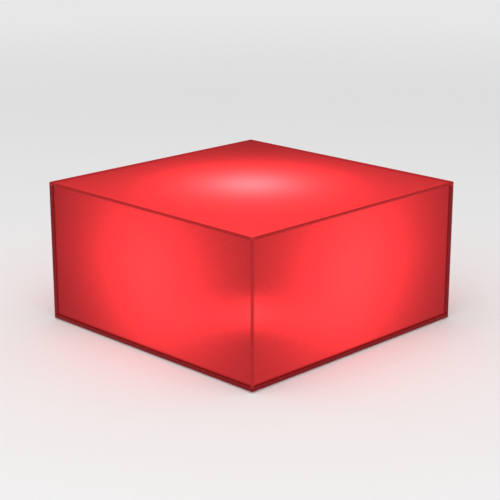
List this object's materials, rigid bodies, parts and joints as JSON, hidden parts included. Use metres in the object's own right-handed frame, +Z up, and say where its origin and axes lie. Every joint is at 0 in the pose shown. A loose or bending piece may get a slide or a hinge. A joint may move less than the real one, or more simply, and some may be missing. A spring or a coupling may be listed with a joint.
{
  "type": "outdoor block light",
  "caption": "Low square cordless garden light: a clear shell round a glowing milky core, with a hidden control well, button and charge port underneath.",
  "frame": {"origin": "centre of the footprint, on the plane that the rubber feet stand on", "axes": "+Z up; +X to the right and -Y to the front, each square to a pair of side faces; the control well is near the front edge of the underside"},
  "size_m": [0.2, 0.2, 0.101],
  "materials": {
    "clear_shell": "polished clear polycarbonate",
    "glowing_core": "milky red-lit diffuser, satin",
    "base_white": "fine moulded texture",
    "inner_white": "matt white",
    "brass_insert": "turned and knurled",
    "seal_rubber": "soft silicone",
    "foot_rubber": "matt",
    "screw_steel": "zinc plated",
    "post_aluminium": "mill finish",
    "led_board_white": "white solder mask on aluminium",
    "thermal_pad": "soft",
    "led_red": "moulded window",
    "lead_black": "flexible sleeve",
    "lead_grey": "flexible sleeve",
    "lead_red": "flexible sleeve",
    "holder_black": "fine moulded texture",
    "cell_wrap": "shrunk sleeve",
    "contact_nickel": "nickel plated",
    "foam_black": "closed-cell foam",
    "board_green": "solder mask on glass laminate",
    "chip_black": "moulded epoxy",
    "ferrite_grey": "pressed ferrite",
    "capacitor_can": "drawn can",
    "connector_white": "moulded nylon",
    "button_rubber": "soft-touch, matt",
    "light_pipe": "clear acrylic"
  },
  "bodies": {
    "housing": {"base_gasket": "seal_rubber", "base_plate": "base_white", "base_screws": "screw_steel", "battery_cell_front": "cell_wrap", "battery_cell_rear": "cell_wrap", "battery_connector": "connector_white", "battery_foam_pad": "foam_black", "battery_holder": "holder_black", "battery_lead_negative": "lead_black", "battery_lead_positive": "lead_red", "board_jumpers": "lead_black", "charge_socket": "contact_nickel", "charger_chip": "chip_black", "contact_link": "contact_nickel", "contact_negative": "contact_nickel", "contact_positive": "contact_nickel", "control_board": "board_green", "control_board_screws": "screw_steel", "cover_hinge_pin": "contact_nickel", "diffuser_core": "glowing_core", "driver_inductor": "ferrite_grey", "foot_front_left": "foot_rubber", "foot_front_right": "foot_rubber", "foot_rear_left": "foot_rubber", "foot_rear_right": "foot_rubber", "holder_screws": "screw_steel", "led_board_front": "led_board_white", "led_board_left": "led_board_white", "led_board_rear": "led_board_white", "led_board_right": "led_board_white", "led_board_screws": "screw_steel", "led_board_top": "led_board_white", "led_connector": "connector_white", "led_driver_chip": "chip_black", "led_lead": "lead_grey", "led_post": "post_aluminium", "mounting_ring": "inner_white", "outer_shell": "clear_shell", "port_seal": "seal_rubber", "post_cap": "post_aluminium", "post_foot": "inner_white", "post_foot_screws": "screw_steel", "post_side_screws": "screw_steel", "reflector_tray": "inner_white", "side_leds": "led_red", "smoothing_capacitor": "capacitor_can", "socket_tongue": "chip_black", "status_led": "connector_white", "status_light_pipe": "light_pipe", "tact_switch": "chip_black", "thermal_pads": "thermal_pad", "threaded_inserts": "brass_insert", "top_leds": "led_red", "tray_screws": "screw_steel"},
    "button": {"power_button": "button_rubber"},
    "plunger": {"switch_plunger": "connector_white"},
    "cover": {"port_cover": "button_rubber", "cover_seal": "seal_rubber"}
  },
  "joints": [
    {"name": "button_press", "type": "slide", "parent": "housing", "child": "button", "axis": [0, 0, 1], "range_m": [0, 0.0005], "stiffness_N_per_m": 800, "springref_m": -0.0002},
    {"name": "switch_press", "type": "slide", "parent": "housing", "child": "plunger", "axis": [0, 0, 1], "range_m": [0, 0.0005]},
    {"name": "cover_hinge", "type": "hinge", "parent": "housing", "child": "cover", "pos_m": [0.033, -0.06, 0.00715], "axis": [0, -1, 0], "range_deg": [0, 115]}
  ],
  "couplings": [
    {"joint": "switch_press", "follows": "button_press", "ratio": 1}
  ]
}
